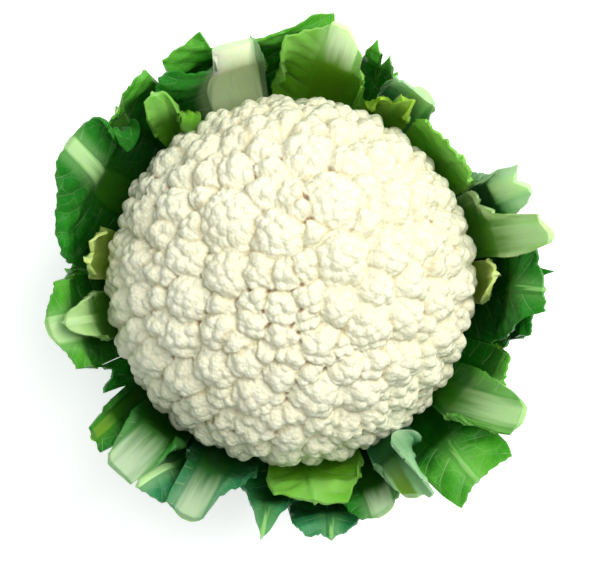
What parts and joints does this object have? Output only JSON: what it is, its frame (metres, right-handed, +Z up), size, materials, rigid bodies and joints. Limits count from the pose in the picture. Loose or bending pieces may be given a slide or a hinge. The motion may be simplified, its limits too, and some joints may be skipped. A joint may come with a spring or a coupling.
{
  "type": "cauliflower",
  "caption": "Whole cauliflower, trimmed: a white head of florets on a short cut stem, wrapped in green leaves with wide pale midribs cut short around it.",
  "frame": {"origin": "Middle of the stem's flat cut face, on the surface that the cauliflower stands on.", "axes": "+Z up through the head; +X and +Y to the right and up in a view from straight above."},
  "size_m": [0.2283, 0.2383, 0.1449],
  "materials": {
    "curd": "matte",
    "stem": "satin",
    "leaf": "satin",
    "young_leaf": "satin"
  },
  "bodies": {
    "root": {"curd": "curd", "stem": "stem", "leaf_01": "leaf", "leaf_02": "leaf", "leaf_03": "leaf", "leaf_04": "leaf", "leaf_05": "leaf", "leaf_06": "leaf", "leaf_07": "leaf", "leaf_08": "leaf", "leaf_09": "leaf", "leaf_10": "leaf", "leaf_11": "leaf", "leaf_12": "leaf", "leaf_13": "leaf", "leaf_14": "leaf", "leaf_15": "leaf", "leaf_16": "leaf", "leaf_17": "leaf", "leaf_18": "leaf", "leaf_19": "leaf", "leaf_20": "leaf", "leaf_21": "leaf", "leaf_22": "leaf", "leaf_23": "leaf", "leaf_24": "leaf", "leaf_25": "leaf", "leaf_26": "leaf", "leaf_27": "leaf", "young_leaf_1": "young_leaf", "young_leaf_2": "young_leaf", "young_leaf_3": "young_leaf", "young_leaf_4": "young_leaf"}
  },
  "joints": []
}
